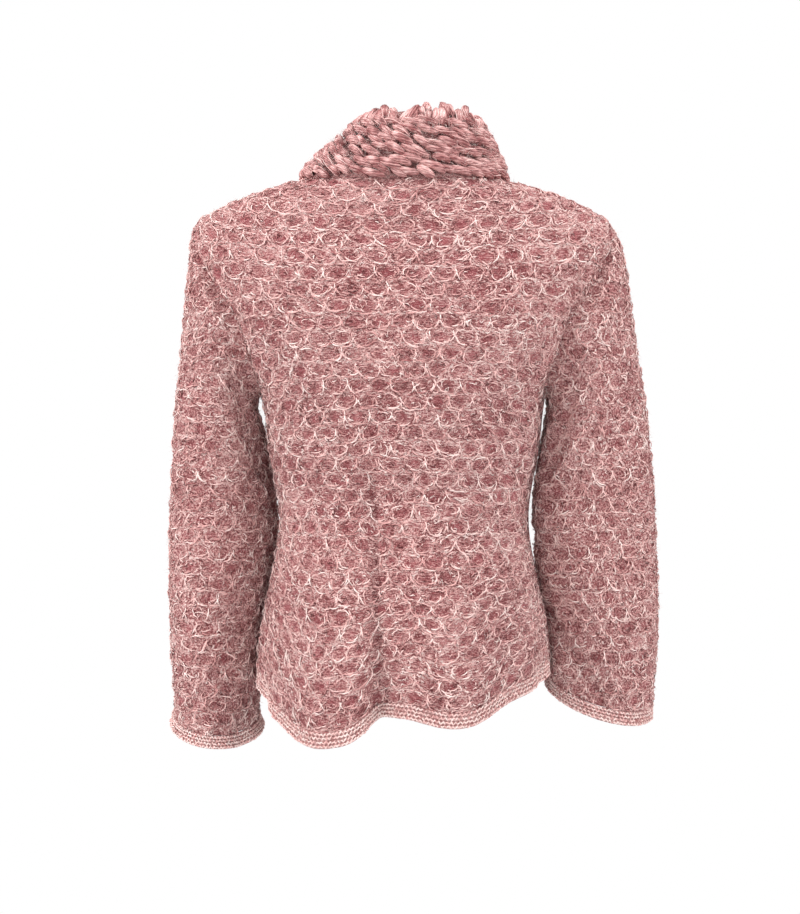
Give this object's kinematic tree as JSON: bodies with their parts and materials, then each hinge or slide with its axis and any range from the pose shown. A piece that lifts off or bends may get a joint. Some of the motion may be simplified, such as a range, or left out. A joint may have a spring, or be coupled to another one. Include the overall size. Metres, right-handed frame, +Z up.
{
  "type": "cardigan",
  "caption": "Hip-length knitted cardigan in its worn form, hollow, with set-in sleeves, a funnel collar of yarn loops and a buttoned front.",
  "frame": {"origin": "between the wearer's shoulders, at the level of the collar's seam at the centre back", "axes": "+Z up, -Y towards the front of the garment, +X towards the wearer's left"},
  "size_m": [0.4996, 0.2533, 0.6479],
  "materials": {
    "knit": "soft brushed honeycomb knit",
    "border": "soft garter knit",
    "loops": "thick plied yarn loops",
    "button": "satin"
  },
  "bodies": {
    "root": {"back": "knit", "left_front": "knit", "right_front": "knit", "left_sleeve": "knit", "right_sleeve": "knit", "hem_border_back": "border", "hem_border_left_front": "border", "hem_border_right_front": "border", "cuff_border_left": "border", "cuff_border_right": "border", "left_front_band": "border", "right_front_band": "border", "collar": "loops", "button_1": "button", "button_2": "button", "button_3": "button", "button_4": "button", "button_5": "button"}
  },
  "joints": []
}
